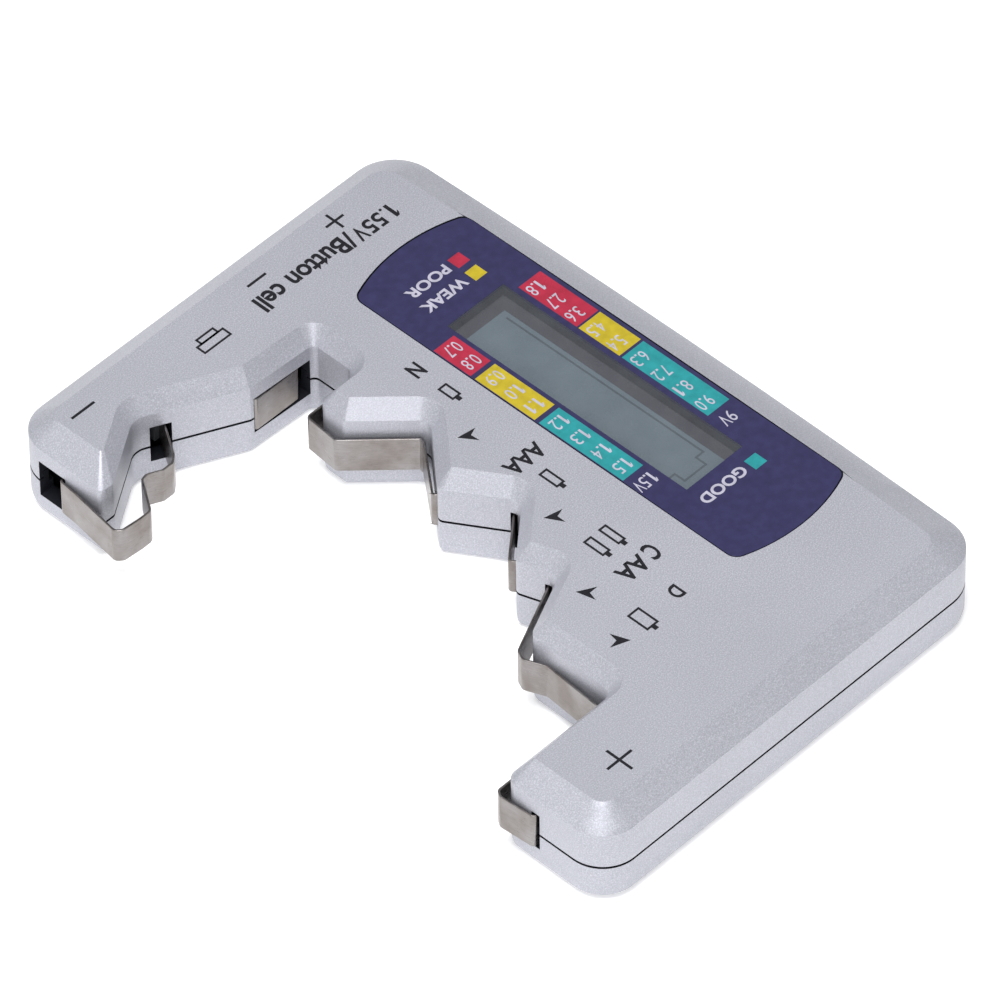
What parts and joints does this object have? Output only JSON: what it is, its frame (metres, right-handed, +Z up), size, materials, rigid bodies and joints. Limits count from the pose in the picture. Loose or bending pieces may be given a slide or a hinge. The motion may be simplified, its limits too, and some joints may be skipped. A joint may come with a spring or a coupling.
{
  "type": "battery tester",
  "caption": "Flat pocket battery tester with a display, a stepped bay of spring strips for round cells and two end contacts for a block cell.",
  "frame": {"origin": "on the underside, at mid length and near the middle of the width", "axes": "+Z up out of the display face, +Y along the length towards the plus arm, +X towards the cell bay"},
  "size_m": [0.0676, 0.0976, 0.0137],
  "materials": {
    "silver_paint": "silver metallic spray paint on moulded plastic",
    "panel_print": "navy printed overlay, glossy",
    "dark_plastic": "moulded dark plastic",
    "lcd_glass": "grey-green reflective display glass",
    "reflector_foil": "diffuse foil",
    "zebra_rubber": "striped conductive rubber",
    "board_laminate": "green solder mask on laminate",
    "chip_resin": "black resin",
    "component_ceramic": "fired ceramic components",
    "nickel_strip": "nickel-plated steel strip, satin",
    "screw_steel": "plain steel screws",
    "wire_jacket": "soft insulated wire"
  },
  "bodies": {
    "case": {"upper_shell": "silver_paint", "lower_shell": "silver_paint", "display_panel": "panel_print", "lcd_frame": "dark_plastic", "lcd_front_glass": "lcd_glass", "lcd_rear_glass": "lcd_glass", "lcd_reflector": "reflector_foil", "zebra_strips": "zebra_rubber", "circuit_board": "board_laminate", "controller_blob": "chip_resin", "load_resistor": "component_ceramic", "transistor": "chip_resin", "return_leaf_spring": "nickel_strip", "n_cell_contact": "nickel_strip", "aaa_cell_contact": "nickel_strip", "aa_c_cell_contact": "nickel_strip", "d_cell_contact": "nickel_strip", "nine_volt_positive_contact": "nickel_strip", "nine_volt_negative_contact": "nickel_strip", "contact_leads": "wire_jacket", "negative_lead": "wire_jacket", "chip_resistors": "chip_resin", "chip_capacitors": "component_ceramic", "case_screws": "screw_steel", "board_screws": "screw_steel"},
    "negative_carriage": {"contact_slider": "dark_plastic", "negative_contact": "nickel_strip", "button_cell_contact": "nickel_strip"}
  },
  "joints": [
    {"name": "negative_contact_slide", "type": "slide", "parent": "case", "child": "negative_carriage", "axis": [0, -1, 0], "range_m": [0, 0.003], "stiffness_N_per_m": 300, "springref_m": -0.003, "deforming": ["return_leaf_spring"]}
  ]
}
